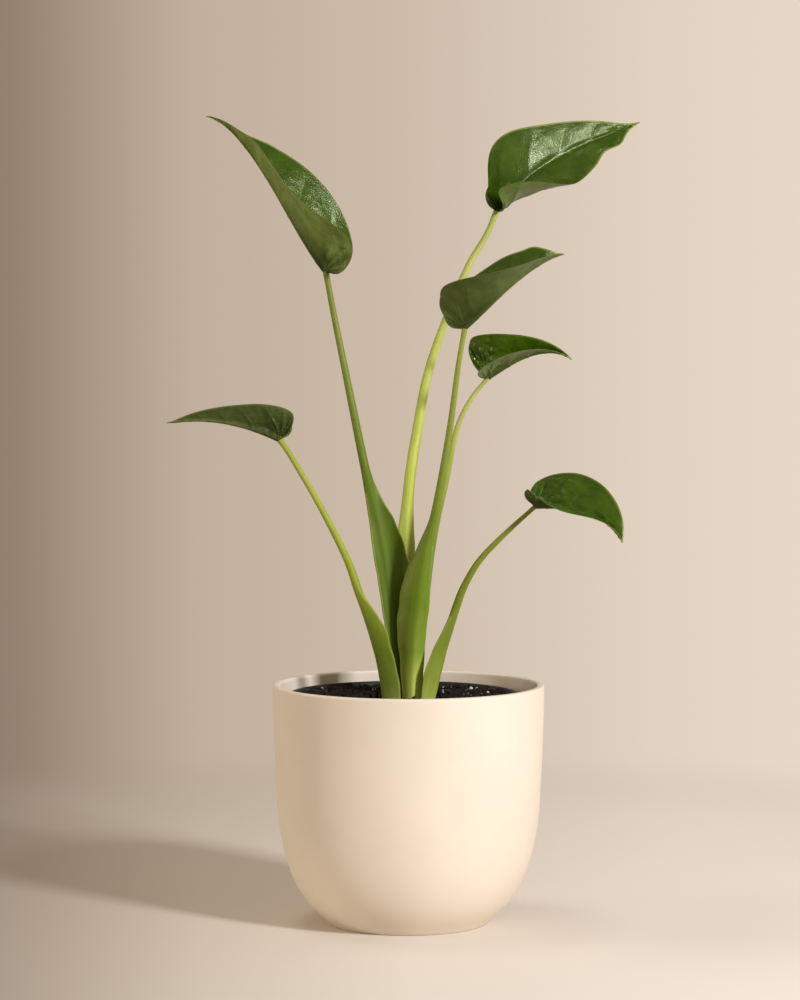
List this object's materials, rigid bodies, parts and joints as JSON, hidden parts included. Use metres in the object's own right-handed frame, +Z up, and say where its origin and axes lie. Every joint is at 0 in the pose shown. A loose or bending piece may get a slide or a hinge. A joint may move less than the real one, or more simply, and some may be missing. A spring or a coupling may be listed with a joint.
{
  "type": "potted alocasia",
  "caption": "Upright potted houseplant with long sheathed petioles and cupped, pointed glossy leaves, growing in soil inside a round matt ceramic cover pot.",
  "frame": {"origin": "middle of the cover pot's flat foot, on the surface it stands on", "axes": "+Z up along the pot's axis; -Y is the plant's front, +X to the right as seen from the front"},
  "size_m": [0.2485, 0.1461, 0.421],
  "materials": {
    "ceramic": "matte",
    "nursery_plastic": "satin",
    "soil": "matte",
    "petiole": "satin",
    "leaf_blade": "gloss"
  },
  "bodies": {
    "root": {"cover_pot": "ceramic", "nursery_pot": "nursery_plastic", "soil": "soil", "petiole_upper_left": "petiole", "petiole_upper_right": "petiole", "petiole_centre": "petiole", "petiole_mid_right": "petiole", "petiole_lower_right": "petiole", "petiole_lower_left": "petiole", "blade_upper_left": "leaf_blade", "blade_upper_right": "leaf_blade", "blade_centre": "leaf_blade", "blade_mid_right": "leaf_blade", "blade_lower_right": "leaf_blade", "blade_lower_left": "leaf_blade"}
  },
  "joints": []
}
